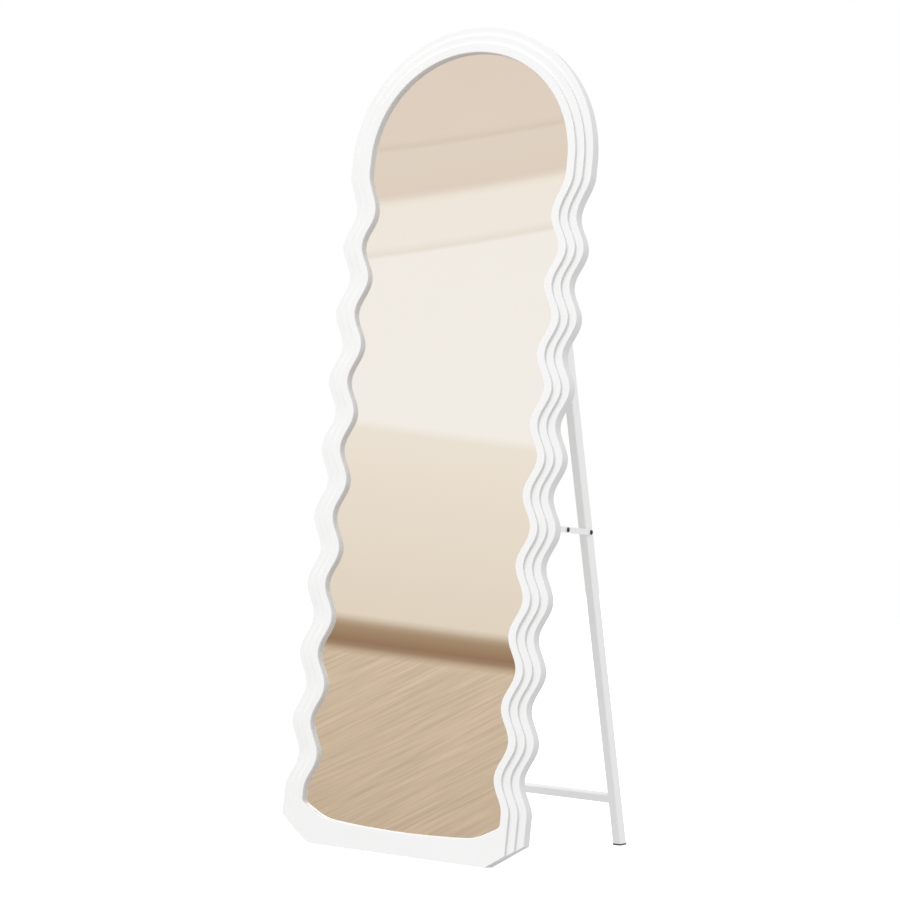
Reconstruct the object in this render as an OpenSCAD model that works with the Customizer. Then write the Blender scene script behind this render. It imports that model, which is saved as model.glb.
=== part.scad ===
// Wavy-edged arched floor mirror on a folding rear stand.
// X runs across the mirror, Y from front to back, Z up. The floor is Z = 0.
// "Panel" coordinates are the mirror laid out upright: x across, y into the
// thickness from the front face, z up along the mirror from its bottom edge.

/* [Frame outline] */
// Width of the frame across two opposite wave crests
frame_w = 532; // [500:1:560]
// Height of the frame along its own plane
frame_h = 1628; // [1610:1:1650]
// Distance between neighbouring wave crests
wave_pitch = 135.4; // [134:0.1:136]
// Half the depth of the wave
wave_amp = 11.2; // [8:0.1:12]
// Height of the lowest wave crest
wave_start = 101; // [95:1:105]
// Height at which the side turns into the arch
arch_base = 1357; // [1350:1:1365]
// Width of the cut-off bottom corners
corner_cut_w = 72; // [60:1:80]
// Height of the cut-off bottom corners
corner_cut_h = 48; // [40:1:56]

/* [Frame section] */
// Width of each of the three stepped bands
band_w = 16.5; // [15:0.1:17]
// Drop from one band to the next one outwards
band_step = 5.5; // [4:0.1:6]
// Thickness of the frame
frame_t = 35.2; // [34:0.1:38]
// Depth of the glass behind the front face
glass_depth = 10; // [8:0.5:14]

/* [Glass and backing] */
// Thickness of the mirror glass
glass_t = 4; // [3:0.5:5]
// Thickness of the back board
board_t = 3; // [2.5:0.5:4]

/* [Stand] */
// Angle by which the standing mirror leans back
lean = 4.4; // [4:0.1:5]
// Angle between the mirror and the opened legs
open_angle = 27.3; // [26:0.1:28]
// Height of the leg pivot along the mirror
pivot_z = 1028; // [1020:1:1035]
// Distance of the leg pivot from the front face
pivot_y = 56.5; // [56:0.5:58]
// Distance of each leg's outer face from the middle
leg_outer_x = 230; // [228:1:231]
// Width of the leg tube, seen from the front
leg_w = 17; // [15:0.5:18]
// Depth of the leg tube, seen from the side
leg_d = 30; // [26:0.5:30]
// Wall thickness of the tubes
tube_wall = 1.5; // [1.2:0.1:2]
// Distance from the leg pivot down to the top of the crossbar
crossbar_drop = 995; // [900:1:1000]
// Height of the crossbar tube
crossbar_h = 18; // [16:0.5:20]
// Depth of the crossbar tube
crossbar_d = 15; // [12:0.5:18]
// Thickness of the rubber foot pads
foot_t = 3; // [2:0.5:5]

/* [Folding stays] */
// Height of the stay's pivot on the frame
stay_z = 652; // [645:1:655]
// Distance from the leg pivot to the stay's pin in the leg
stay_drop = 412.5; // [411:0.5:416]
// Width of the flat stay bars
stay_w = 11.5; // [10:0.5:14]
// Thickness of the flat stay bars
stay_t = 1.8; // [1.5:0.1:1.8]
// Diameter of the black pin heads
cap_d = 9.5; // [9:0.5:12]

/* [Hidden] */
$fn = 48;
eps = 1;                                // overshoot of cutting tools
big = 1400;                             // larger than any section to cut

crest_x = frame_w / 2;
wave_mid_x = crest_x - wave_amp;
valley_x = crest_x - 2 * wave_amp;
wave_count = 8.5;                       // pitches from the lowest crest to the top valley
steps_per_wave = 10;
valley_top_z = wave_start + wave_count * wave_pitch;
shoulder_h = 80;                        // rise from the top valley to the full width
shoulder_steps = 6;
arch_step = 5;                          // degrees
opening_x = 3 * band_w;                 // opening edge, in from the outer edge
arch_taper = 1.095;                     // the bands widen a little towards the top
bottom_half_w = crest_x - corner_cut_w;

glass_lap = 7;                          // glass under the frame's lip
glass_room = 1;                         // play around the glass
board_lap = 20;                         // back board beyond the opening
board_room = 0.5;
board_screw_lap = 14;
corner_r = 12;                          // opening's lower corner rounding
corner_z = 85;                          // where the opening's straight side ends
corner_turn = 62;                       // degrees turned by that rounding
sill_x = 49;                            // sill corner, in from the side
sill_z = 51.5;
sill_mid_z = 43.6;
sill_steps = 6;

foot_margin = 0.6;                      // pad wider than the tube
fold_sin = sin(open_angle);
fold_cos = cos(open_angle);
leg_tilt = open_angle - lean;           // legs from the vertical
panel_lift = frame_t * sin(lean);       // raises the rear bottom edge to the floor
pivot_up = panel_lift + pivot_z * cos(lean) - pivot_y * sin(lean);
depth_all = pivot_z * sin(lean) + pivot_y * cos(lean) + pivot_up * tan(leg_tilt)
    + (leg_d / 2 + foot_margin) / cos(leg_tilt);
leg_l = pivot_up / cos(leg_tilt) + leg_d;
leg_x = leg_outer_x - leg_w / 2;
leg_top = 10;                           // tube above the pivot
tube_r = 2;                             // outer corner radius of the tubes
cap_t = 2;                              // plate of the tube's end cap
cap_plug = 5;
foot_plug = 15;

bolt_d = 8;
bolt_room = 0.05;                       // radial play of a turning fit
hinge_plate_t = 1.5;
hinge_ear_t = 2;
hinge_gap = 0.6;                        // between tube and ear
hinge_ear_r = 11;
hinge_h = 44;
hinge_flange_x = 248;                   // outer edge of the flange
ear_in = leg_outer_x - leg_w - hinge_gap;
ear_out = leg_outer_x + hinge_gap;
bolt_head_d = 15;
bolt_head_t = 4;
nut_d = 15;
nut_t = 6;

screw_d = 3.5;
screw_head_d = 7;
screw_head_t = 2;
screw_l = 14;

pin_d = 5;
washer_t = 0.8;
play = 0.1;                             // between flat faces that slide
rear_x = leg_outer_x + washer_t + play;
front_x = rear_x + stay_t + 2 * play;
stay_ear_x = front_x + stay_t + 2 * play;
stay_ear_t = 2;
stay_ear_r = 9;
stay_flange_x = 256;
stay_plate_h = 40;
cap_h = 3.2;
dome_h = 1.2;                           // rounded part of a pin head
pin_nut_t = 4;
pin_nut_d = 9;

// Where the stay's leg pin is when the stand is open, in panel coordinates
leg_pin_y = pivot_y + stay_drop * fold_sin;
leg_pin_z = pivot_z - stay_drop * fold_cos;
stay_reach_y = leg_pin_y - pivot_y;
stay_reach_z = leg_pin_z - stay_z;
stay_open_l = sqrt(stay_reach_y * stay_reach_y + stay_reach_z * stay_reach_z);
stay_shut_l = stay_z - (pivot_z - stay_drop);
front_l = (stay_open_l - stay_shut_l) / 2;
rear_l = (stay_open_l + stay_shut_l) / 2;
stay_rise = atan2(stay_reach_z, stay_reach_y);

SIDES = [-1, 1];

// ---- Placing -------------------------------------------------------------

// Stands upright panel coordinates up on the floor, leaning back
module on_panel() {
    translate([0, -depth_all / 2, panel_lift])
        rotate([-lean, 0, 0])
            children();
}

// Leg coordinates: origin at the pivot, the leg runs down along -z
module on_leg() {
    on_panel()
        translate([0, pivot_y, pivot_z])
            rotate([open_angle, 0, 0])
                children();
}

// The right-hand piece is drawn, and mirrored for the left
module to_side(side) {
    mirror([side < 0 ? 1 : 0, 0, 0])
        children();
}

// ---- Outlines, drawn in the panel's plane --------------------------------

function wave_x(z) = wave_mid_x + wave_amp * cos(360 * (z - wave_start) / wave_pitch);
function cut_z(x) = (x - bottom_half_w) * corner_cut_h / corner_cut_w;
function arch_rise(inset) = frame_h - arch_base - inset * arch_taper;

// Right-hand side from the lowest crest up to the arch, moved in by inset
function side_points(inset) = concat(
    [for (i = [0:wave_count * steps_per_wave])
        let (z = wave_start + i * wave_pitch / steps_per_wave)
        [wave_x(z) - inset, z]],
    [for (i = [1:shoulder_steps])
        let (s = i / shoulder_steps)
        [valley_x + wave_amp * (1 - cos(180 * s)) - inset, valley_top_z + s * shoulder_h]]
);

// Quarter of the arch, from its base to the top
function arch_points(inset) = [
    for (a = [0:arch_step:90])
        [(crest_x - inset) * cos(a), arch_base + arch_rise(inset) * sin(a)]
];

// Lower right-hand edge of a band, cut off at the corner
function foot_points(inset) = [
    [bottom_half_w, 0],
    [crest_x - inset, cut_z(crest_x - inset)]
];

// Lower right-hand edge of the opening, grown by lap, from the middle outwards
function sill_points(lap) =
    let (side_x = crest_x - opening_x + lap, r = corner_r + lap, end_x = side_x - sill_x)
    concat(
        [for (i = [0:sill_steps])
            let (s = i / (sill_steps + 1))
            [s * end_x, sill_mid_z - lap + (sill_z - sill_mid_z) * s * s]],
        [[end_x, sill_z - lap * cos(corner_turn / 2)]],
        [for (a = [-corner_turn:corner_turn / 4:0])
            [side_x - r + r * cos(a), corner_z + r * sin(a)]]
    );

function flip(points) = [
    for (i = [len(points) - 1:-1:0])
        if (points[i][0] > 0) [-points[i][0], points[i][1]]
];

module band_outline(inset) {
    right = concat(foot_points(inset), side_points(inset), arch_points(inset));
    polygon(concat(right, flip(right)));
}

module opening_outline(lap) {
    inset = opening_x - lap;
    right = concat(sill_points(lap), side_points(inset), arch_points(inset));
    polygon(concat(right, flip(right)));
}

// Extrudes an outline in the panel's plane between two depths
module slab(from_y, to_y) {
    translate([0, to_y, 0])
        rotate([90, 0, 0])
            linear_extrude(height = to_y - from_y)
                children();
}

// ---- Small shapes --------------------------------------------------------

// Round rod or hole along the depth, pointing forwards from the back
module rod_y(d, from_y, to_y) {
    translate([0, to_y, 0])
        rotate([90, 0, 0])
            cylinder(d = d, h = to_y - from_y);
}

// Round rod or hole across the mirror
module rod_x(d, from_x, to_x, sides = 48) {
    translate([from_x, 0, 0])
        rotate([0, 90, 0])
            cylinder(d = d, h = to_x - from_x, $fn = sides);
}

// Upright bar with rounded edges, centred in x and y, from z0 up to z1
module rounded_bar(w, d, z0, z1, r) {
    translate([-w / 2 + r, -d / 2, z0])
        cube([w - 2 * r, d, z1 - z0]);
    translate([-w / 2, -d / 2 + r, z0])
        cube([w, d - 2 * r, z1 - z0]);
    for (sx = SIDES, sy = SIDES)
        translate([sx * (w / 2 - r), sy * (d / 2 - r), z0])
            cylinder(r = r, h = z1 - z0);
}

// Flat bar with round ends that runs along +y from one pivot to the next
module link_bar(length, x0) {
    translate([x0, 0, -stay_w / 2])
        cube([stay_t, length, stay_w]);
    for (y = [0, length])
        translate([0, y, 0])
            rod_x(stay_w, x0, x0 + stay_t);
}

// Domed black head of a pin, growing outwards from x0
module pin_cap(x0) {
    rod_x(cap_d, x0, x0 + cap_h - dome_h);
    translate([x0 + cap_h - dome_h, 0, 0])
        rotate([0, 90, 0])
            cylinder(d1 = cap_d, d2 = cap_d - 2 * dome_h, h = dome_h);
}

// Round-headed wood screw whose head rests at depth y
module screw(y) {
    rod_y(screw_d, y - screw_l, y);
    rod_y(screw_head_d, y, y + screw_head_t);
}

// Ear of a bracket, round about a pivot at height 0
module ear(x0, t, r) {
    translate([x0, frame_t, -r])
        cube([t, pivot_y - frame_t, 2 * r]);
    translate([0, pivot_y, 0])
        rod_x(2 * r, x0, x0 + t);
}

// ---- Screw places --------------------------------------------------------

board_screw_inset = opening_x - board_screw_lap;
board_screw_side = [for (i = [0:4]) wave_start + (2 * i + 0.5) * wave_pitch];
board_screw_arch = [45, 90, 135];
board_screw_sill = [-110, 0, 110];
hinge_screws = [[240.5, -15], [240.5, 0], [240.5, 15]];
stay_screws = [[247, -13], [247, 13]];

module at_board_screws() {
    for (side = SIDES, z = board_screw_side)
        translate([side * (wave_x(z) - board_screw_inset), 0, z])
            children();
    for (a = board_screw_arch)
        translate([(crest_x - board_screw_inset) * cos(a), 0,
                   arch_base + arch_rise(board_screw_inset) * sin(a)])
            children();
    for (x = board_screw_sill)
        translate([x, 0, sill_mid_z - board_screw_lap])
            children();
}

module at_hinge_screws(side) {
    for (p = hinge_screws)
        translate([side * p[0], 0, pivot_z + p[1]])
            children();
}

module at_stay_screws(side) {
    for (p = stay_screws)
        translate([side * p[0], 0, stay_z + p[1]])
            children();
}

// ---- Mirror --------------------------------------------------------------

board_y = frame_t - board_t;
bracket_face = frame_t + hinge_plate_t;

module frame() {
    color("whitesmoke")
        on_panel()
            difference() {
                union() {
                    slab(0, frame_t) band_outline(2 * band_w);
                    slab(band_step, frame_t) band_outline(band_w);
                    slab(2 * band_step, frame_t) band_outline(0);
                }
                slab(-eps, frame_t + eps) opening_outline(0);
                slab(glass_depth, frame_t + eps) opening_outline(glass_lap + glass_room);
                slab(board_y, frame_t + eps) opening_outline(board_lap);
                at_board_screws() rod_y(screw_d, frame_t - screw_l, frame_t);
                for (side = SIDES) {
                    at_hinge_screws(side) rod_y(screw_d, bracket_face - screw_l, bracket_face);
                    at_stay_screws(side) rod_y(screw_d, bracket_face - screw_l, bracket_face);
                }
            }
}

module mirror_glass() {
    color("lightsteelblue")
        on_panel()
            slab(glass_depth, glass_depth + glass_t) opening_outline(glass_lap);
}

module foam_sheet() {
    color("gainsboro")
        on_panel()
            slab(glass_depth + glass_t, board_y) opening_outline(glass_lap);
}

module back_board() {
    color("gainsboro")
        on_panel()
            difference() {
                slab(board_y, frame_t) opening_outline(board_lap - board_room);
                at_board_screws() rod_y(screw_d, board_y - eps, frame_t + eps);
            }
}

module back_board_screws() {
    color("silver")
        on_panel()
            at_board_screws() screw(frame_t);
}

// ---- Leg hinges ----------------------------------------------------------

module hinge_bracket(side) {
    color("white")
        on_panel()
            to_side(side)
                difference() {
                    translate([0, 0, pivot_z]) {
                        translate([ear_in - hinge_ear_t, frame_t, -hinge_h / 2])
                            cube([hinge_flange_x - ear_in + hinge_ear_t, hinge_plate_t, hinge_h]);
                        ear(ear_in - hinge_ear_t, hinge_ear_t, hinge_ear_r);
                        ear(ear_out, hinge_ear_t, hinge_ear_r);
                    }
                    translate([0, pivot_y, pivot_z])
                        rod_x(bolt_d, ear_in - 2 * hinge_ear_t, ear_out + 2 * hinge_ear_t);
                    at_hinge_screws(1) rod_y(screw_d, frame_t - eps, bracket_face + eps);
                }
}

module hinge_bracket_screws() {
    color("silver")
        on_panel()
            for (side = SIDES)
                at_hinge_screws(side) screw(bracket_face);
}

module hinge_bolt(side) {
    color("silver")
        on_panel()
            to_side(side)
                translate([0, pivot_y, pivot_z]) {
                    rod_x(bolt_d, ear_in - hinge_ear_t - nut_t, ear_out + hinge_ear_t);
                    rod_x(bolt_head_d, ear_out + hinge_ear_t, ear_out + hinge_ear_t + bolt_head_t, 6);
                }
}

module hinge_nut(side) {
    color("silver")
        on_panel()
            to_side(side)
                translate([0, pivot_y, pivot_z])
                    difference() {
                        rod_x(nut_d, ear_in - hinge_ear_t - nut_t, ear_in - hinge_ear_t, 6);
                        rod_x(bolt_d, ear_in - hinge_ear_t - nut_t - eps, ear_in + eps);
                    }
}

// ---- Stand ---------------------------------------------------------------

// Everything below the given height
module below(z) {
    translate([-big / 2, -big / 2, z - big])
        cube([big, big, big]);
}

// Everything above the given height
module above(z) {
    translate([-big / 2, -big / 2, z])
        cube([big, big, big]);
}

module leg(side) {
    color("white")
        to_side(side)
            difference() {
                on_leg()
                    difference() {
                        translate([leg_x, 0, 0])
                            rounded_bar(leg_w, leg_d, -leg_l, leg_top, tube_r);
                        translate([leg_x, 0, 0])
                            rounded_bar(leg_w - 2 * tube_wall, leg_d - 2 * tube_wall,
                                        -leg_l - eps, leg_top + eps, tube_r - tube_wall);
                        rod_x(bolt_d + 2 * bolt_room, leg_outer_x - leg_w - eps, leg_outer_x + eps);
                        translate([0, 0, -stay_drop])
                            rod_x(pin_d, leg_outer_x - leg_w - eps, leg_outer_x + eps);
                    }
                below(foot_t);
            }
}

module leg_end_cap(side) {
    color("dimgray")
        to_side(side)
            on_leg()
                translate([leg_x, 0, 0]) {
                    rounded_bar(leg_w, leg_d, leg_top, leg_top + cap_t, tube_r);
                    rounded_bar(leg_w - 2 * tube_wall, leg_d - 2 * tube_wall,
                                leg_top - cap_plug, leg_top, tube_r - tube_wall);
                }
}

module foot_pad(side) {
    color("black")
        to_side(side) {
            difference() {
                on_leg()
                    translate([leg_x, 0, 0])
                        rounded_bar(leg_w + 2 * foot_margin, leg_d + 2 * foot_margin,
                                    -leg_l - leg_d, -leg_l / 2, tube_r + foot_margin);
                below(0);
                above(foot_t);
            }
            difference() {
                on_leg()
                    translate([leg_x, 0, 0])
                        rounded_bar(leg_w - 2 * tube_wall, leg_d - 2 * tube_wall,
                                    -leg_l, -leg_l / 2, tube_r - tube_wall);
                below(foot_t);
                above(foot_t + foot_plug);
            }
        }
}

module crossbar() {
    half_l = leg_outer_x - leg_w;
    color("white")
        on_leg()
            translate([0, 0, -crossbar_drop - crossbar_h / 2])
                rotate([0, 90, 0])
                    difference() {
                        rounded_bar(crossbar_h, crossbar_d, -half_l, half_l, tube_r);
                        rounded_bar(crossbar_h - 2 * tube_wall, crossbar_d - 2 * tube_wall,
                                    -half_l - eps, half_l + eps, tube_r - tube_wall);
                    }
}

// ---- Folding stays -------------------------------------------------------

module stay_bracket(side) {
    color("white")
        on_panel()
            to_side(side)
                difference() {
                    translate([0, 0, stay_z]) {
                        translate([stay_ear_x, frame_t, -stay_plate_h / 2])
                            cube([stay_flange_x - stay_ear_x, hinge_plate_t, stay_plate_h]);
                        ear(stay_ear_x, stay_ear_t, stay_ear_r);
                    }
                    translate([0, pivot_y, stay_z])
                        rod_x(pin_d, stay_ear_x - eps, stay_ear_x + stay_ear_t + eps);
                    at_stay_screws(1) rod_y(screw_d, frame_t - eps, bracket_face + eps);
                }
}

module stay_bracket_screws() {
    color("silver")
        on_panel()
            for (side = SIDES)
                at_stay_screws(side) screw(bracket_face);
}

module stay_bracket_pin(side) {
    color("black")
        on_panel()
            to_side(side)
                translate([0, pivot_y, stay_z]) {
                    rod_x(pin_d, front_x, stay_ear_x + stay_ear_t);
                    pin_cap(stay_ear_x + stay_ear_t);
                }
}

// Front bar coordinates: origin at the bracket pin, the bar runs along +y
module on_front_bar(side) {
    on_panel()
        to_side(side)
            translate([0, pivot_y, stay_z])
                rotate([stay_rise, 0, 0])
                    children();
}

module stay_front_bar(side) {
    color("white")
        on_front_bar(side)
            difference() {
                link_bar(front_l, front_x);
                rod_x(pin_d + 2 * bolt_room, front_x - eps, front_x + stay_t + eps);
                translate([0, front_l, 0])
                    rod_x(pin_d, front_x - eps, front_x + stay_t + eps);
            }
}

module stay_knuckle_pin(side) {
    color("black")
        on_front_bar(side)
            translate([0, front_l, 0]) {
                rod_x(pin_d, front_x, front_x + stay_t);
                pin_cap(front_x + stay_t);
            }
}

module stay_rear_bar(side) {
    color("white")
        on_panel()
            to_side(side)
                translate([0, leg_pin_y, leg_pin_z])
                    rotate([stay_rise + 180, 0, 0])
                        difference() {
                            link_bar(rear_l, rear_x);
                            rod_x(pin_d + 2 * bolt_room, rear_x - eps, rear_x + stay_t + eps);
                        }
}

module stay_leg_pin(side) {
    head_x = rear_x + stay_t + play;
    color("black")
        on_leg()
            to_side(side)
                translate([0, 0, -stay_drop]) {
                    rod_x(pin_d, leg_outer_x - leg_w - pin_nut_t, head_x);
                    pin_cap(head_x);
                }
}

module stay_washer(side) {
    color("gainsboro")
        on_leg()
            to_side(side)
                translate([0, 0, -stay_drop])
                    difference() {
                        rod_x(stay_w - 1, leg_outer_x, leg_outer_x + washer_t);
                        rod_x(pin_d, leg_outer_x - eps, leg_outer_x + washer_t + eps);
                    }
}

module stay_leg_nut(side) {
    inner_x = leg_outer_x - leg_w;
    color("silver")
        on_leg()
            to_side(side)
                translate([0, 0, -stay_drop])
                    difference() {
                        rod_x(pin_nut_d, inner_x - pin_nut_t, inner_x, 6);
                        rod_x(pin_d, inner_x - pin_nut_t - eps, inner_x + eps);
                    }
}

// ---- Assembly ------------------------------------------------------------

frame();
mirror_glass();
foam_sheet();
back_board();
back_board_screws();
hinge_bracket(-1);  // hinge_bracket_left
hinge_bracket(1);  // hinge_bracket_right
hinge_bracket_screws();
hinge_bolt(-1);  // hinge_bolt_left
hinge_bolt(1);  // hinge_bolt_right
hinge_nut(-1);  // hinge_nut_left
hinge_nut(1);  // hinge_nut_right
leg(-1);  // leg_left
leg(1);  // leg_right
leg_end_cap(-1);  // leg_end_cap_left
leg_end_cap(1);  // leg_end_cap_right
foot_pad(-1);  // foot_pad_left
foot_pad(1);  // foot_pad_right
crossbar();
stay_bracket(-1);  // stay_bracket_left
stay_bracket(1);  // stay_bracket_right
stay_bracket_screws();
stay_bracket_pin(-1);  // stay_bracket_pin_left
stay_bracket_pin(1);  // stay_bracket_pin_right
stay_front_bar(-1);  // stay_front_bar_left
stay_front_bar(1);  // stay_front_bar_right
stay_knuckle_pin(-1);  // stay_knuckle_pin_left
stay_knuckle_pin(1);  // stay_knuckle_pin_right
stay_rear_bar(-1);  // stay_rear_bar_left
stay_rear_bar(1);  // stay_rear_bar_right
stay_leg_pin(-1);  // stay_leg_pin_left
stay_leg_pin(1);  // stay_leg_pin_right
stay_washer(-1);  // stay_washer_left
stay_washer(1);  // stay_washer_right
stay_leg_nut(-1);  // stay_leg_nut_left
stay_leg_nut(1);  // stay_leg_nut_right
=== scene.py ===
import math

import bmesh
import bpy
from mathutils import Matrix, Vector
from mathutils.geometry import tessellate_polygon


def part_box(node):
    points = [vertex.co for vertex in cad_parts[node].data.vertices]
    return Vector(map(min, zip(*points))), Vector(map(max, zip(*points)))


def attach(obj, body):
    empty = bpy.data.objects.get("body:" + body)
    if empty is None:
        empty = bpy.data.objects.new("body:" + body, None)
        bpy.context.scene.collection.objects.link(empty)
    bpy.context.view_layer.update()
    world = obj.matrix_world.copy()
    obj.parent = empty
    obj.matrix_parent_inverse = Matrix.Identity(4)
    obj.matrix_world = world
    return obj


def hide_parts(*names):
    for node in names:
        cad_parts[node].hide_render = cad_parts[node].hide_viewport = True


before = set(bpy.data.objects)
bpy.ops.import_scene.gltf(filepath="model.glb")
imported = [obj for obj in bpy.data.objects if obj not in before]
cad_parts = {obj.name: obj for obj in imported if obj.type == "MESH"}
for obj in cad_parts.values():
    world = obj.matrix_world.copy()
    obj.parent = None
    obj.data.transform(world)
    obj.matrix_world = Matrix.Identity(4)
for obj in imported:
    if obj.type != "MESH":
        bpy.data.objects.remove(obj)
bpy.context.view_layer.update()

# ---- Driving dimensions of the mirror, in millimetres -------------------------

MM = 0.001
CREST_X = 266.0            # half the width over two wave crests
FRAME_H = 1628.0
WAVE_PITCH = 135.4
WAVE_AMP = 11.2
WAVE_START = 101.0         # height of the lowest crest
WAVE_COUNT = 8.5
ARCH_BASE = 1357.0
ARCH_TAPER = 1.095
SHOULDER_H = 80.0
CUT_W = 72.0               # cut-off bottom corners
CUT_H = 48.0
BAND_W = 16.5
BAND_STEP = 5.5
FRAME_T = 35.2
GLASS_DEPTH = 10.0
BOARD_DEPTH = 32.2
LEAN = math.radians(4.4)
OPEN_ANGLE = math.radians(27.3)
PIVOT_N = 56.5
PIVOT_Z = 1028.0
LEG_W = 17.0
LEG_D = 30.0
LEG_OUTER_X = 230.0
LEG_TOP = 10.0
TUBE_WALL = 1.5
TUBE_R = 2.4
CROSSBAR_DROP = 995.0
CROSSBAR_H = 18.0
CROSSBAR_D = 15.0
FOOT_T = 3.0

OPENING_INSET = 3 * BAND_W
GLASS_ROOM_LAP = 8.0       # recess for the glass, beyond the opening
BOARD_ROOM_LAP = 20.0      # recess for the back board
CORNER_R = 12.0
CORNER_Z = 85.0
CORNER_TURN = math.radians(62)
SILL_X = 49.0
SILL_Z = 51.5
SILL_MID_Z = 43.6

# Edges of the stepped bands
OUTER_ROLL = (1.4, 1.7)    # across, deep
TERRACE_ROLL = (0.9, 0.9)
COVE = (7.0, 0.8)
LIP_ROLL = 1.6

# Mesh fineness
WAVE_STEPS = 204
SHOULDER_STEPS = 14
ARCH_STEPS = 72
FOOT_STEPS = 4
SILL_STEPS = 14
SILL_SOFT = 22.0           # rounding of the corner between sill and side
CORNER_STEPS = 10
ROLL_STEPS = 5
COVE_STEPS = 6
TUBE_CORNER_STEPS = 6
DOME_STEPS = 8
TURN_STEPS = 40
FINE_TURN_STEPS = 48       # for hexagon and cross-recess heads
SAME_POINT = 1e-3          # points closer than this are joined
SLIVER = 1e-4              # edges shorter than this are dissolved

CUT_X = CREST_X - CUT_W
WAVE_MID_X = CREST_X - WAVE_AMP
VALLEY_X = CREST_X - 2 * WAVE_AMP
VALLEY_TOP_Z = WAVE_START + WAVE_COUNT * WAVE_PITCH
FRONT_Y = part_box("frame")[0].y
PANEL_LIFT = FRAME_T * MM * math.sin(LEAN)


# ---- Placing ------------------------------------------------------------------

def panel_matrix():
    """From panel coordinates (across, depth, up) in millimetres to the row frame."""
    stand_up = Matrix.Translation((0, FRONT_Y, PANEL_LIFT)) @ Matrix.Rotation(-LEAN, 4, "X")
    return stand_up @ Matrix.Scale(MM, 4)


def leg_matrix():
    """From leg coordinates, with the pivot as origin and the leg along -Z."""
    at_pivot = Matrix.Translation((0, PIVOT_N, PIVOT_Z)) @ Matrix.Rotation(OPEN_ANGLE, 4, "X")
    return panel_matrix() @ at_pivot


# ---- Outlines in the panel's plane --------------------------------------------

def wave_x(z):
    return WAVE_MID_X + WAVE_AMP * math.cos(2 * math.pi * (z - WAVE_START) / WAVE_PITCH)


def cut_z(x):
    return (x - CUT_X) * CUT_H / CUT_W


def side_line(inset):
    """Right-hand edge from the lowest crest to the top of the arch."""
    points = []
    for i in range(WAVE_STEPS + 1):
        z = WAVE_START + i * WAVE_COUNT * WAVE_PITCH / WAVE_STEPS
        points.append((wave_x(z) - inset, z))
    for i in range(1, SHOULDER_STEPS + 1):
        s = i / SHOULDER_STEPS
        x = VALLEY_X + WAVE_AMP * (1 - math.cos(math.pi * s))
        points.append((x - inset, VALLEY_TOP_Z + s * SHOULDER_H))
    rise = FRAME_H - ARCH_BASE - inset * ARCH_TAPER
    for i in range(ARCH_STEPS + 1):
        a = 0.5 * math.pi * i / ARCH_STEPS
        points.append(((CREST_X - inset) * math.cos(a), ARCH_BASE + rise * math.sin(a)))
    return points


def foot_line(inset):
    """Straight stretch between the cut-off corner and the lowest crest."""
    x = CREST_X - inset
    low = cut_z(x)
    return [(x, low + (WAVE_START - low) * i / FOOT_STEPS) for i in range(FOOT_STEPS)]


def sill_line(lap):
    """Lower edge of the opening from the middle to the right-hand side."""
    side_x = CREST_X - OPENING_INSET + lap
    end_x = side_x - SILL_X
    r = CORNER_R + lap
    points = []
    for i in range(SILL_STEPS + 1):
        s = i / SILL_STEPS * (1 - SILL_SOFT / end_x)
        points.append((s * end_x, SILL_MID_Z - lap + (SILL_Z - SILL_MID_Z) * s * s))
    start = Vector(points[-1])
    corner = Vector((end_x, SILL_Z - lap * math.cos(CORNER_TURN / 2)))
    side = Vector((side_x - r + r * math.cos(CORNER_TURN), CORNER_Z - r * math.sin(CORNER_TURN)))
    end = corner + (side - corner).normalized() * SILL_SOFT
    for i in range(1, CORNER_STEPS + 1):
        s = i / CORNER_STEPS
        p = start * (1 - s) ** 2 + corner * 2 * s * (1 - s) + end * s * s
        points.append((p.x, p.y))
    for i in range(CORNER_STEPS + 1):
        a = CORNER_TURN * (i / CORNER_STEPS - 1)
        points.append((side_x - r + r * math.cos(a), CORNER_Z + r * math.sin(a)))
    return points


def both_sides(right):
    """Adds the mirrored left-hand half to a right-hand line, from its far end back."""
    left = [(-x, z) for x, z in reversed(right) if x > SAME_POINT]
    return right + left


def at_depth(points, n):
    return [Vector((x, n, z)) for x, z in points]


# ---- Mesh building ------------------------------------------------------------

def patch(bm, rows, closed=False):
    """Quads between neighbouring rows of points."""
    made = [[bm.verts.new(p) for p in row] for row in rows]
    last = len(made[0]) if closed else len(made[0]) - 1
    for low, high in zip(made, made[1:]):
        for i in range(last):
            j = (i + 1) % len(low)
            bm.faces.new((low[i], low[j], high[j], high[i]))


def flat_face(bm, loops):
    """Fills a flat outline with holes."""
    flat = [p for loop in loops for p in loop]
    made = [bm.verts.new(p) for p in flat]
    for a, b, c in tessellate_polygon(loops):
        bm.faces.new((made[a], made[b], made[c]))


def finish_mesh(bm, name, matrix, body, material, smooth_angle=40):
    """Welds, orients and shades the mesh, and makes it a piece on its body."""
    bmesh.ops.remove_doubles(bm, verts=bm.verts, dist=SAME_POINT)
    bmesh.ops.dissolve_degenerate(bm, edges=bm.edges, dist=SLIVER)
    bmesh.ops.recalc_face_normals(bm, faces=bm.faces)
    bm.transform(matrix)
    if matrix.determinant() < 0:
        bmesh.ops.reverse_faces(bm, faces=bm.faces)
    mesh = bpy.data.meshes.new(name)
    bm.to_mesh(mesh)
    bm.free()
    for polygon in mesh.polygons:
        polygon.use_smooth = True
    mesh.set_sharp_from_angle(angle=math.radians(smooth_angle))
    piece = bpy.data.objects.new(name, mesh)
    bpy.context.scene.collection.objects.link(piece)
    mesh.materials.append(material)
    even = piece.modifiers.new("even_normals", "WEIGHTED_NORMAL")
    even.keep_sharp = True
    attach(piece, body)
    return piece


# ---- The moulded frame --------------------------------------------------------

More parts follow.
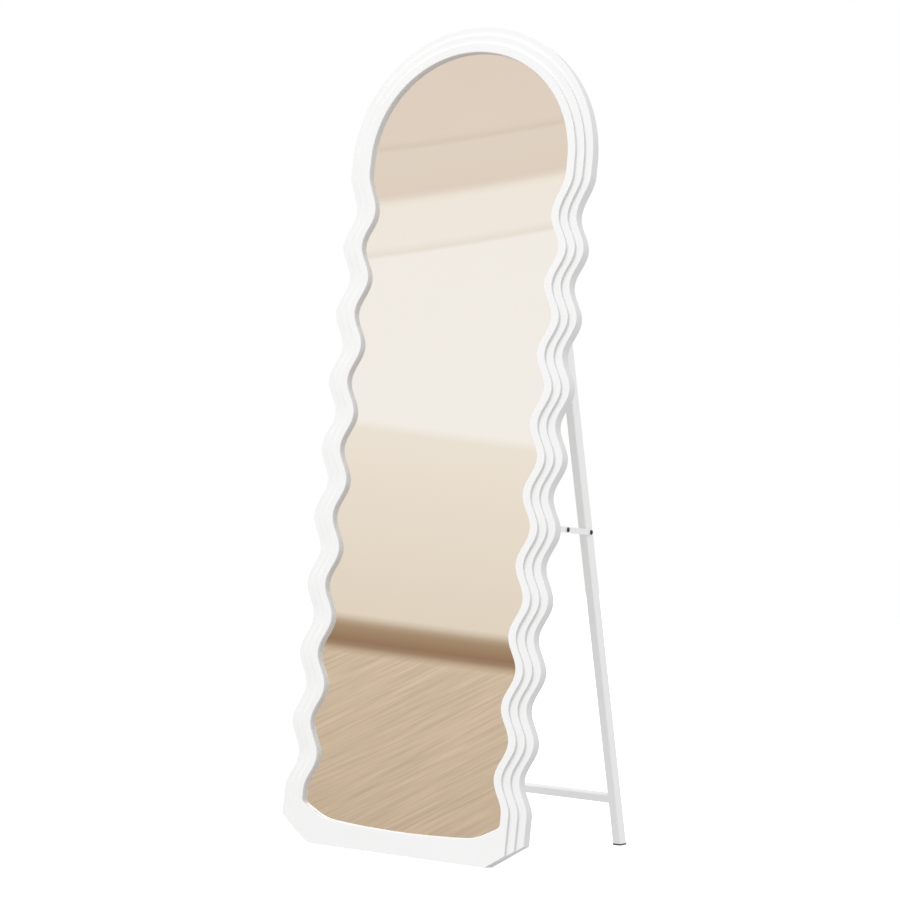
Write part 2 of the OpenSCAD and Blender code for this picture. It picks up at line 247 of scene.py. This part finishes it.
def quarter(steps=ROLL_STEPS):
    """Sine and cosine over a quarter turn, ends included."""
    return [(math.sin(0.5 * math.pi * i / steps), math.cos(0.5 * math.pi * i / steps))
            for i in range(steps + 1)]


def band_profile():
    """Section of the bands as (inset, depth), from the back edge in to the front plate."""
    points = [(0, FRAME_T)]
    depth = 2 * BAND_STEP
    roll_w, roll_d = OUTER_ROLL
    for step in range(3):
        inset = step * BAND_W
        points += [(inset + roll_w * (1 - c), depth + roll_d * (1 - s)) for s, c in quarter()]
        if step == 2:
            break
        foot = inset + BAND_W
        cove_w, cove_d = COVE
        for i in range(COVE_STEPS + 1):
            s = i / COVE_STEPS
            points.append((foot - cove_w * (1 - s), depth - cove_d * s * s))
        depth -= BAND_STEP
        roll_w, roll_d = TERRACE_ROLL
    return points


def band_line(inset):
    return both_sides(foot_line(inset) + side_line(inset))


def opening_line(lap):
    return both_sides(sill_line(lap) + side_line(OPENING_INSET - lap))


def opening_loop(lap, n):
    """Closed line round the opening, grown by lap, at a depth."""
    return at_depth(opening_line(lap), n)


def build_frame(material):
    bm = bmesh.new()
    profile = band_profile()
    rows = [at_depth(band_line(inset), n) for inset, n in profile]
    patch(bm, rows)
    bottom_front = [Vector((-CUT_X, 0, 0)), Vector((CUT_X, 0, 0))]
    bottom_back = [Vector((-CUT_X, FRAME_T, 0)), Vector((CUT_X, FRAME_T, 0))]
    lip = [(LIP_ROLL * (1 - s), LIP_ROLL * (1 - c)) for s, c in quarter()]
    inner = [opening_loop(lap, n) for lap, n in lip]
    inner.append(opening_loop(0, GLASS_DEPTH))
    inner.append(opening_loop(GLASS_ROOM_LAP, GLASS_DEPTH))
    inner.append(opening_loop(GLASS_ROOM_LAP, BOARD_DEPTH))
    inner.append(opening_loop(BOARD_ROOM_LAP, BOARD_DEPTH))
    inner.append(opening_loop(BOARD_ROOM_LAP, FRAME_T))
    patch(bm, inner, closed=True)
    flat_face(bm, [rows[-1] + bottom_front, inner[0]])
    flat_face(bm, [rows[0] + bottom_back, inner[-1]])
    for end, front, back in ((0, bottom_front[1], bottom_back[1]),
                             (-1, bottom_front[0], bottom_back[0])):
        flat_face(bm, [[row[end] for row in rows] + [front, back]])
    patch(bm, [bottom_front, bottom_back])
    piece = finish_mesh(bm, "frame_moulding", panel_matrix(), "mirror", material)
    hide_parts("frame")


# ---- The folding stand --------------------------------------------------------

def rounded_rectangle(w, h, r):
    """Closed outline about the origin as (across, up)."""
    points = []
    for k, (sx, sy) in enumerate(((1, 1), (-1, 1), (-1, -1), (1, -1))):
        for i in range(TUBE_CORNER_STEPS + 1):
            a = 0.5 * math.pi * (k + i / TUBE_CORNER_STEPS)
            points.append((sx * (w / 2 - r) + r * math.cos(a), sy * (h / 2 - r) + r * math.sin(a)))
    return points


def build_leg(side, name, material):
    """Tube from above the pivot down to the rubber pad, cut level with the floor."""
    matrix = leg_matrix()
    bm = bmesh.new()
    middle = side * (LEG_OUTER_X - LEG_W / 2)
    rows = []
    for grow, r in ((0, TUBE_R), (-2 * TUBE_WALL, TUBE_R - TUBE_WALL)):
        outline = rounded_rectangle(LEG_W + grow, LEG_D + grow, r)
        top = [Vector((middle + x, y, LEG_TOP)) for x, y in outline]
        bottom = []
        for p in top:
            high = (matrix @ Vector((p.x, p.y, 0))).z
            fall = high - (matrix @ Vector((p.x, p.y, -1))).z
            bottom.append(Vector((p.x, p.y, (FOOT_T * MM - high) / fall)))
        rows += [top, bottom] if grow == 0 else [bottom, top]
    patch(bm, rows + [rows[0]], closed=True)
    piece = finish_mesh(bm, f"leg_tube_{name}", matrix, "stand", material)
    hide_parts(f"leg_{name}")


WELD_FILLET = ((2.2, 0.0), (1.0, 0.9), (0.3, 2.2), (0.0, 4.0))    # out of the tube, off the leg


def build_crossbar(material):
    """Tube between the legs, with the weld's fillet at each end."""
    reach = LEG_OUTER_X - LEG_W
    stations = [(-reach + off, grow) for grow, off in WELD_FILLET]
    stations += [(reach - off, grow) for grow, off in reversed(WELD_FILLET)]
    bm = bmesh.new()
    rows = []
    for x, grow in stations:
        outline = rounded_rectangle(CROSSBAR_D + 2 * grow, CROSSBAR_H + 2 * grow, TUBE_R + grow)
        rows.append([Vector((x, a, b)) for a, b in outline])
    for x in (reach, -reach):
        outline = rounded_rectangle(CROSSBAR_D - 2 * TUBE_WALL, CROSSBAR_H - 2 * TUBE_WALL,
                                    TUBE_R - TUBE_WALL)
        rows.append([Vector((x, a, b)) for a, b in outline])
    patch(bm, rows + [rows[0]], closed=True)
    matrix = leg_matrix() @ Matrix.Translation((0, 0, -CROSSBAR_DROP - CROSSBAR_H / 2))
    piece = finish_mesh(bm, "crossbar_tube", matrix, "stand", material)
    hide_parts("crossbar")


# ---- Pins, bolts and screws ---------------------------------------------------

def turned_ring(along, out, steps, shape=None):
    """Ring about the X axis. shape gives the radius at an angle where it isn't round."""
    ring = []
    for i in range(steps):
        a = 2 * math.pi * i / steps
        r = shape(out, a) if shape else out
        ring.append(Vector((along, r * math.cos(a), r * math.sin(a))))
    return ring


def spin(bm, profile, steps=TURN_STEPS, shape=None):
    """Turns a profile of (along, out) about the X axis, with flat ends."""
    rows = [turned_ring(along, out, steps, shape) for along, out in profile]
    patch(bm, rows, closed=True)
    for row in (rows[0], rows[-1]):
        if (row[0] - row[1]).length > SAME_POINT:
            flat_face(bm, [row])


def on_axis(node, side):
    """Matrix from pin coordinates, outwards along X in millimetres, and the pin's length."""
    low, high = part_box(node)
    middle = (low + high) / 2
    start = Vector((low.x if side > 0 else high.x, middle.y, middle.z))
    matrix = Matrix.Translation(start) @ Matrix.Diagonal((side * MM, MM, MM, 1))
    return matrix, (high.x - low.x) / MM


PIN_SHANK_R = 2.5
PIN_HEAD_R = 4.75
PIN_HEAD_H = 3.2
PIN_HEAD_EDGE = 1.1        # upright edge of the head, below the dome
PIN_HEAD_EASE = 0.25       # eased corner under the head


def build_pin(node, side, body, material):
    """Black pin with a low domed head and a rolled rim."""
    matrix, length = on_axis(node, side)
    seat = length - PIN_HEAD_H
    edge = seat + PIN_HEAD_EDGE
    dome = length - edge
    profile = [(0, PIN_SHANK_R), (seat, PIN_SHANK_R), (seat, PIN_HEAD_R - PIN_HEAD_EASE),
               (seat + PIN_HEAD_EASE, PIN_HEAD_R), (edge, PIN_HEAD_R)]
    profile += [(edge + dome * s, PIN_HEAD_R * c) for s, c in quarter(DOME_STEPS)[1:]]
    bm = bmesh.new()
    spin(bm, profile)
    piece = finish_mesh(bm, node + "_turned", matrix, body, material,
                        smooth_angle=55)
    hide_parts(node)


BOLT_R = 4.0
BOLT_END_CHAMFER = 0.7
BOLT_HEAD_R = 7.5          # over the corners
BOLT_HEAD_T = 4.0
BOLT_CROWN = ((1.0, BOLT_HEAD_R), (0.35, 6.9), (0, 6.1), (0, 3.0), (0.4, 2.4))    # down, out


def in_hexagon(out, a):
    """Radius at the angle a of a round of radius out, cut to the head's hexagon."""
    sixth = math.pi / 3
    side = BOLT_HEAD_R * math.cos(sixth / 2) / math.cos((a % sixth) - sixth / 2)
    return min(out, side)


def build_hinge_bolt(node, side, material):
    """Bolt with a chamfered hexagon head."""
    matrix, length = on_axis(node, side)
    seat = length - BOLT_HEAD_T
    bm = bmesh.new()
    spin(bm, [(0, BOLT_R - BOLT_END_CHAMFER), (BOLT_END_CHAMFER, BOLT_R), (seat, BOLT_R)])
    head = [(seat, BOLT_HEAD_R)] + [(length - down, out) for down, out in BOLT_CROWN]
    spin(bm, head, FINE_TURN_STEPS, in_hexagon)
    piece = finish_mesh(bm, node + "_turned", matrix, "mirror", material,
                        smooth_angle=25)
    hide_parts(node)


def solids_of(node):
    """Middle of each separate solid in a CAD node, in the row frame, lowest first."""
    bm = bmesh.new()
    bm.from_mesh(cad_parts[node].data)
    bmesh.ops.remove_doubles(bm, verts=bm.verts, dist=SAME_POINT * MM)
    left = set(bm.verts)
    middles = []
    while left:
        edge = [left.pop()]
        found = list(edge)
        while edge:
            vertex = edge.pop()
            near = {e.other_vert(vertex) for e in vertex.link_edges} & left
            left -= near
            found += near
            edge += near
        low = [min(v.co[k] for v in found) for k in range(3)]
        high = [max(v.co[k] for v in found) for k in range(3)]
        middles.append((Vector(low) + Vector(high)) / 2)
    bm.free()
    return sorted(middles, key=lambda m: (round(m.z, 4), round(m.x, 4)))


SCREW_L = 14.0             # under the head
SCREW_R = 1.75
SCREW_TIP_R = 0.3
SCREW_POINT = 3.0          # length of the pointed end
SCREW_HEAD_R = 3.5
SCREW_HEAD_T = 2.0
SCREW_RIM = 0.5            # upright edge of the head, below the dome
RECESS_REACH = 2.0         # length of the recess's arms
RECESS_HALF = 0.5
RECESS_DEPTH = 1.1


def head_rings(seat):
    """Rings of a domed head from rim to middle, sunk where the cross recess runs."""
    rings = []
    for k in range(1, DOME_STEPS + 1):
        out = SCREW_HEAD_R * (1 - k / DOME_STEPS)
        rise = (SCREW_HEAD_T - SCREW_RIM) * math.sqrt(1 - (out / SCREW_HEAD_R) ** 2)
        ring = []
        for _, y, z in turned_ring(0, out, FINE_TURN_STEPS):
            in_recess = out < RECESS_REACH and min(abs(y), abs(z)) < RECESS_HALF
            sink = RECESS_DEPTH if in_recess else 0
            ring.append(Vector((seat + SCREW_RIM + rise - sink, y, z)))
        rings.append(ring)
    return rings


def build_screws(node, material):
    """Pan-head screws with a cross recess, at the middle of each CAD screw."""
    upright = panel_matrix()
    level = upright.inverted()
    bm = bmesh.new()
    for middle in solids_of(node):
        at = level @ middle
        tip = at.y - (SCREW_L + SCREW_HEAD_T) / 2
        seat = tip + SCREW_L
        profile = ((tip, SCREW_TIP_R), (tip + SCREW_POINT, SCREW_R), (seat, SCREW_R),
                   (seat, SCREW_HEAD_R), (seat + SCREW_RIM, SCREW_HEAD_R))
        rings = [turned_ring(along, out, FINE_TURN_STEPS) for along, out in profile]
        rings += head_rings(seat)
        turn = Matrix.Translation((at.x, 0, at.z)) @ Matrix.Rotation(math.pi / 2, 4, "Z")
        rings = [[turn @ p for p in ring] for ring in rings]
        patch(bm, rings, closed=True)
        flat_face(bm, [rings[0]])
    piece = finish_mesh(bm, node + "_turned", upright, "mirror", material,
                        smooth_angle=30)
    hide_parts(node)


EASE_W = 0.35


def ease_edges(names):
    """Breaks the sharp edges of pressed and moulded CAD pieces."""
    for name in names:
        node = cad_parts[name]
        weld = node.modifiers.new("weld", "WELD")
        weld.merge_threshold = SAME_POINT * MM
        flat = node.modifiers.new("whole_faces", "DECIMATE")
        flat.decimate_type = "DISSOLVE"
        flat.angle_limit = math.radians(0.5)
        bevel = node.modifiers.new("ease", "BEVEL")
        bevel.width = EASE_W * MM
        bevel.segments = 2
        bevel.limit_method = "ANGLE"
        bevel.angle_limit = math.radians(50)
        crisp = node.modifiers.new("crisp", "EDGE_SPLIT")
        crisp.split_angle = math.radians(20)


# ---- Materials ----------------------------------------------------------------

def link(tree, a, out, b, into):
    tree.links.new(a.outputs[out], b.inputs[into])


def noise(tree, placed, scale, detail):
    node = tree.nodes.new("ShaderNodeTexNoise")
    node.inputs["Scale"].default_value = scale
    node.inputs["Detail"].default_value = detail
    link(tree, placed, "Vector", node, "Vector")
    return node


def map_range(tree, source, socket, before, after=(0.0, 1.0)):
    """Rescales a value from one range to another and keeps it inside."""
    node = tree.nodes.new("ShaderNodeMapRange")
    node.inputs["From Min"].default_value = before[0]
    node.inputs["From Max"].default_value = before[1]
    node.inputs["To Min"].default_value = after[0]
    node.inputs["To Max"].default_value = after[1]
    link(tree, source, socket, node, "Value")
    return node


CLOUD_SCALE = 9.0
SMEAR_SCALE = 31.0


def surface(name, colour, roughness, grain, height, vary=0.03, rough_vary=0.06,
            stretch=(1, 1, 1), metallic=0.0, coat=0.0):
    """A finish with cloudy colour and roughness changes and a fine surface grain."""
    material = bpy.data.materials.new(name)
    material.use_nodes = True
    tree = material.node_tree
    shader = tree.nodes["Principled BSDF"]
    shader.inputs["Metallic"].default_value = metallic
    shader.inputs["Coat Weight"].default_value = coat
    shader.inputs["Coat Roughness"].default_value = 0.12
    place = tree.nodes.new("ShaderNodeTexCoord")
    mapping = tree.nodes.new("ShaderNodeMapping")
    mapping.inputs["Scale"].default_value = stretch
    link(tree, place, "Object", mapping, "Vector")

    clouds = noise(tree, mapping, CLOUD_SCALE, 4.0)
    tint = tree.nodes.new("ShaderNodeValToRGB")
    tint.color_ramp.elements[0].position = 0.3
    tint.color_ramp.elements[1].position = 0.7
    tint.color_ramp.elements[0].color = (*[c * (1 - vary) for c in colour], 1)
    tint.color_ramp.elements[1].color = (*colour, 1)
    link(tree, clouds, "Fac", tint, "Fac")
    link(tree, tint, "Color", shader, "Base Color")

    smears = noise(tree, mapping, SMEAR_SCALE, 5.0)
    around = (max(0.0, roughness - rough_vary), roughness + rough_vary)
    gloss = map_range(tree, smears, "Fac", (0.0, 1.0), around)
    link(tree, gloss, "Result", shader, "Roughness")

    fine = noise(tree, mapping, grain, 3.0)
    bump = tree.nodes.new("ShaderNodeBump")
    bump.inputs["Distance"].default_value = height
    bump.inputs["Strength"].default_value = 0.6
    link(tree, fine, "Fac", bump, "Height")
    link(tree, bump, "Normal", shader, "Normal")
    return material


def make_materials():
    """Every finish by name: colour, roughness, grain's scale and its height in metres."""
    return {
        "frame_paint": surface("frame_paint", (0.765, 0.767, 0.77), 0.42, 900, 0.00005, vary=0.015),
        "mirror": surface("mirror_silver", (0.93, 0.935, 0.93), 0.012, 2.0, 0.0, vary=0.004,
                          rough_vary=0.006, metallic=1.0),
        "board": surface("board", (0.72, 0.71, 0.69), 0.6, 1400, 0.00008, vary=0.05,
                         stretch=(1, 1, 0.35)),
        "foam": surface("foam", (0.75, 0.75, 0.76), 0.9, 600, 0.0004, vary=0.05),
        "zinc": surface("zinc", (0.66, 0.67, 0.69), 0.3, 300, 0.00003, vary=0.12, metallic=1.0),
        "leg_enamel": surface("leg_enamel", (0.93, 0.93, 0.93), 0.3, 1500, 0.00002, vary=0.01,
                              coat=0.25),
        "black_plastic": surface("black_plastic", (0.012, 0.012, 0.013), 0.38, 1200, 0.00005,
                                 vary=0.2),
        "nylon": surface("nylon", (0.78, 0.78, 0.76), 0.5, 800, 0.00003),
        "rubber": surface("rubber", (0.018, 0.018, 0.019), 0.7, 900, 0.00015, vary=0.3),
    }


NODE_FINISH = (
    # start of the node's name, finish; the first row that fits counts
    ("mirror_glass", "mirror"),
    ("foam_sheet", "foam"),
    ("back_board_screws", "zinc"),
    ("back_board", "board"),
    ("hinge_bracket_screws", "zinc"),
    ("hinge_bracket", "leg_enamel"),
    ("hinge_bolt", "zinc"),
    ("hinge_nut", "zinc"),
    ("leg_end_cap", "black_plastic"),
    ("foot_pad", "rubber"),
    ("crossbar", "leg_enamel"),
    ("leg_", "leg_enamel"),
    ("stay_bracket_screws", "zinc"),
    ("stay_bracket_pin", "black_plastic"),
    ("stay_bracket", "leg_enamel"),
    ("stay_knuckle_pin", "black_plastic"),
    ("stay_leg_pin", "black_plastic"),
    ("stay_leg_nut", "zinc"),
    ("stay_washer", "nylon"),
    ("stay_", "leg_enamel"),
    ("", "frame_paint"),
)


def dress_nodes(materials):
    """Gives every CAD node its finish."""
    for name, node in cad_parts.items():
        finish = next(f for start, f in NODE_FINISH if name.startswith(start))
        node.data.materials.clear()
        node.data.materials.append(materials[finish])


# ---- Studio -------------------------------------------------------------------

CAMERA_AT = (2.3507, -4.6438, 0.6960)
CAMERA_YAW = 27.754
CAMERA_PITCH = 1.024
CAMERA_ROLL = 3.907
CAMERA_LENS = 102.94


def make_sheet(name, rows, material):
    """Plain sheet of quads for the stage."""
    bm = bmesh.new()
    patch(bm, rows)
    mesh = bpy.data.meshes.new(name)
    bm.to_mesh(mesh)
    bm.free()
    mesh.materials.append(material)
    sheet = bpy.data.objects.new(name, mesh)
    bpy.context.scene.collection.objects.link(sheet)
    return sheet


FLOOR_REACH = 14.0
FLOOR_GLOW = 0.6


def make_floor():
    """A plain pale floor that lights nothing and doesn't show in the mirror."""
    material = surface("floor_paper", (0.86, 0.86, 0.86), 0.9, 400, 0.00005, vary=0.004)
    shader = material.node_tree.nodes["Principled BSDF"]
    shader.inputs["Emission Color"].default_value = (1, 1, 1, 1)
    shader.inputs["Emission Strength"].default_value = FLOOR_GLOW
    shader.inputs["Specular IOR Level"].default_value = 0.0
    rows = [[Vector((x, y, 0)) for x in (-FLOOR_REACH, FLOOR_REACH)]
            for y in (-FLOOR_REACH, FLOOR_REACH)]
    floor = make_sheet("floor", rows, material)
    floor.visible_diffuse = False
    floor.visible_glossy = False


# The room that the mirror reflects, in metres
ROOM_R = 3.2
ROOM_H = 3.6
ROOM_STEPS = 48
RUG_GAP = 0.05             # between the rug and the front of the mirror
SLANT = 0.35               # how steeply the ceiling's lines run across the card
TONES_MEET = (1.28, 1.31)  # heights between which the lower tones give way to the upper
RUG_EDGE = (0.60, 0.57)    # heights between which the weave fades in, downwards
WEAVE_TURN = -37           # degrees
WEAVE_SIZE = (0.2, 0.2, 0.006)
WEAVE_SHADE = (0.86, 1.1)
LOWER_TONES = (
    # height, colour: carpet, painted shadow of the seat on the carpet, seat
    (0.00, (0.60, 0.465, 0.335)),
    (0.58, (0.68, 0.535, 0.39)),
    (0.61, (0.30, 0.18, 0.10)),
    (0.67, (0.42, 0.29, 0.18)),
    (0.70, (0.80, 0.69, 0.56)),
    (1.29, (0.90, 0.81, 0.70)),
)
UPPER_TONES = (
    # slanted height, colour: wall, cornice, ceiling
    (1.20, (0.95, 0.90, 0.84)),
    (2.41, (0.95, 0.895, 0.83)),
    (2.42, (0.86, 0.77, 0.68)),
    (2.44, (0.93, 0.86, 0.78)),
    (2.58, (0.93, 0.85, 0.76)),
    (2.61, (0.78, 0.66, 0.55)),
    (2.76, (0.80, 0.685, 0.575)),
    (2.77, (0.74, 0.62, 0.50)),
    (2.79, (0.79, 0.67, 0.56)),
    (3.50, (0.77, 0.645, 0.53)),
)


def ramp(tree, tones, reach):
    """Colour ramp over 0 to reach that passes through the tones."""
    node = tree.nodes.new("ShaderNodeValToRGB")
    for height, colour in tones[1:-1]:
        node.color_ramp.elements.new(height / reach)
    for element, (height, colour) in zip(node.color_ramp.elements, tones):
        element.position = height / reach
        element.color = (*colour, 1)
    return node


def calculate(tree, operation, source, socket, second):
    """Arithmetic on an output and either a number or another node's value."""
    node = tree.nodes.new("ShaderNodeMath")
    node.operation = operation
    tree.links.new(source.outputs[socket], node.inputs[0])
    if isinstance(second, float):
        node.inputs[1].default_value = second
    else:
        tree.links.new(second.outputs["Value"], node.inputs[1])
    return node


def blend(tree, blend_type, factor, a, b):
    """Mix of two colours, by a node whose result is the factor."""
    node = tree.nodes.new("ShaderNodeMix")
    node.data_type = "RGBA"
    node.blend_type = blend_type
    link(tree, factor, "Result", node, "Factor")
    tree.links.new(a, node.inputs["A"])
    tree.links.new(b, node.inputs["B"])
    return node.outputs["Result"]


def room_tones(tree, height):
    """Level bands up to the seat's top, and above it bands that run with the ceiling."""
    lower = ramp(tree, LOWER_TONES, ROOM_H)
    link(tree, calculate(tree, "DIVIDE", height, "Z", ROOM_H), "Value", lower, "Fac")
    tilt = calculate(tree, "MULTIPLY", height, "X", -SLANT)
    slanted = calculate(tree, "ADD", height, "Z", tilt)
    upper = ramp(tree, UPPER_TONES, ROOM_H)
    link(tree, calculate(tree, "DIVIDE", slanted, "Value", ROOM_H), "Value", upper, "Fac")
    above = map_range(tree, height, "Z", TONES_MEET)
    return blend(tree, "MIX", above, lower.outputs["Color"], upper.outputs["Color"])


def rug_weave(tree, place):
    """Fine slanting streaks, as a factor on the colour."""
    turned = tree.nodes.new("ShaderNodeMapping")
    turned.vector_type = "TEXTURE"
    turned.inputs["Rotation"].default_value = (0, math.radians(WEAVE_TURN), 0)
    turned.inputs["Scale"].default_value = WEAVE_SIZE
    link(tree, place, "Object", turned, "Vector")
    streaks = noise(tree, turned, 1.0, 4.0)
    return map_range(tree, streaks, "Fac", (0.3, 0.7), WEAVE_SHADE).outputs["Result"]


def room_material():
    """Glowing bands from carpet tan to ceiling beige: a painted reflection of the lit room, with a
    painted shadow under the seat.
    """
    material = bpy.data.materials.new("reflected_room")
    material.use_nodes = True
    tree = material.node_tree
    tree.nodes.clear()
    place = tree.nodes.new("ShaderNodeTexCoord")
    height = tree.nodes.new("ShaderNodeSeparateXYZ")
    link(tree, place, "Object", height, "Vector")
    on_rug = map_range(tree, height, "Z", RUG_EDGE)
    colour = blend(tree, "MULTIPLY", on_rug, room_tones(tree, height), rug_weave(tree, place))
    glow = tree.nodes.new("ShaderNodeEmission")
    tree.links.new(colour, glow.inputs["Color"])
    out = tree.nodes.new("ShaderNodeOutputMaterial")
    link(tree, glow, "Emission", out, "Surface")
    return material


def make_reflected_room():
    """Plain glowing cards that only the mirror sees, carrying a painted reflection of the room: a
    half-round wall and the rug before it.
    """
    material = room_material()
    turns = [math.pi * (1 + i / ROOM_STEPS) for i in range(ROOM_STEPS + 1)]
    arc = [(ROOM_R * math.cos(a), ROOM_R * math.sin(a)) for a in turns]
    wall = [[Vector((x, y, z)) for x, y in arc] for z in (0, ROOM_H)]
    near = FRONT_Y - RUG_GAP
    rug = [[Vector((x, min(y, near), 0)) for x, y in arc], [Vector((x, near, 0)) for x, _ in arc]]
    for name, rows in (("reflected_room", wall), ("reflected_carpet", rug)):
        card = make_sheet(name, rows, material)
        card.visible_camera = False
        card.visible_diffuse = False
        card.visible_shadow = False


SKY_BELOW = 0.60
SKY_ABOVE = 1.12


def make_world():
    """White to look at, softer as light, and dimmer from below than from above."""
    world = bpy.data.worlds.new("studio")
    bpy.context.scene.world = world
    world.use_nodes = True
    tree = world.node_tree
    sky = tree.nodes["Background"]
    sky.inputs["Color"].default_value = (1, 1, 1, 1)
    place = tree.nodes.new("ShaderNodeTexCoord")
    split = tree.nodes.new("ShaderNodeSeparateXYZ")
    link(tree, place, "Generated", split, "Vector")
    light = map_range(tree, split, "Z", (-1.0, 1.0), (SKY_BELOW, SKY_ABOVE))
    rays = tree.nodes.new("ShaderNodeLightPath")
    seen_white = map_range(tree, rays, "Is Camera Ray", (0.0, 1.0))
    link(tree, light, "Result", seen_white, "To Min")
    link(tree, seen_white, "Result", sky, "Strength")


def distant_light(name, left, up, width, strength):
    """A light so far off that it is even over the whole mirror. Angles in degrees."""
    lamp = bpy.data.lights.new(name, "SUN")
    lamp.angle = math.radians(width)
    lamp.energy = strength
    light = bpy.data.objects.new(name, lamp)
    light.rotation_euler = (math.radians(90 - up), 0, math.radians(-left))
    bpy.context.scene.collection.objects.link(light)


def make_lights():
    distant_light("key", left=24, up=38, width=26, strength=1.22)
    distant_light("edge", left=86, up=4, width=16, strength=0.35)


def make_camera():
    lens = bpy.data.cameras.new("camera")
    lens.lens = CAMERA_LENS
    camera = bpy.data.objects.new("camera", lens)
    turn = Matrix.Rotation(math.radians(CAMERA_YAW), 4, "Z")
    tip = Matrix.Rotation(math.radians(90 + CAMERA_PITCH), 4, "X")
    roll = Matrix.Rotation(math.radians(CAMERA_ROLL), 4, "Z")
    camera.matrix_world = Matrix.Translation(CAMERA_AT) @ turn @ tip @ roll
    bpy.context.scene.collection.objects.link(camera)
    bpy.context.scene.camera = camera


def main():
    make_camera()
    make_world()
    make_lights()
    make_floor()
    make_reflected_room()
    materials = make_materials()
    dress_nodes(materials)
    build_frame(materials["frame_paint"])
    build_crossbar(materials["leg_enamel"])
    for side, name in ((-1, "left"), (1, "right")):
        build_leg(side, name, materials["leg_enamel"])
        build_pin(f"stay_bracket_pin_{name}", side, "mirror", materials["black_plastic"])
        build_pin(f"stay_knuckle_pin_{name}", side, f"front_stay_{name}", materials["black_plastic"])
        build_pin(f"stay_leg_pin_{name}", side, "stand", materials["black_plastic"])
        build_hinge_bolt(f"hinge_bolt_{name}", side, materials["zinc"])
        ease_edges([f"hinge_bracket_{name}", f"stay_bracket_{name}", f"stay_front_bar_{name}",
                    f"stay_rear_bar_{name}", f"leg_end_cap_{name}", f"foot_pad_{name}"])
    for node in ("back_board_screws", "hinge_bracket_screws", "stay_bracket_screws"):
        build_screws(node, materials["zinc"])
    bpy.context.scene.view_settings.view_transform = "Standard"


main()
bpy.context.view_layer.update()
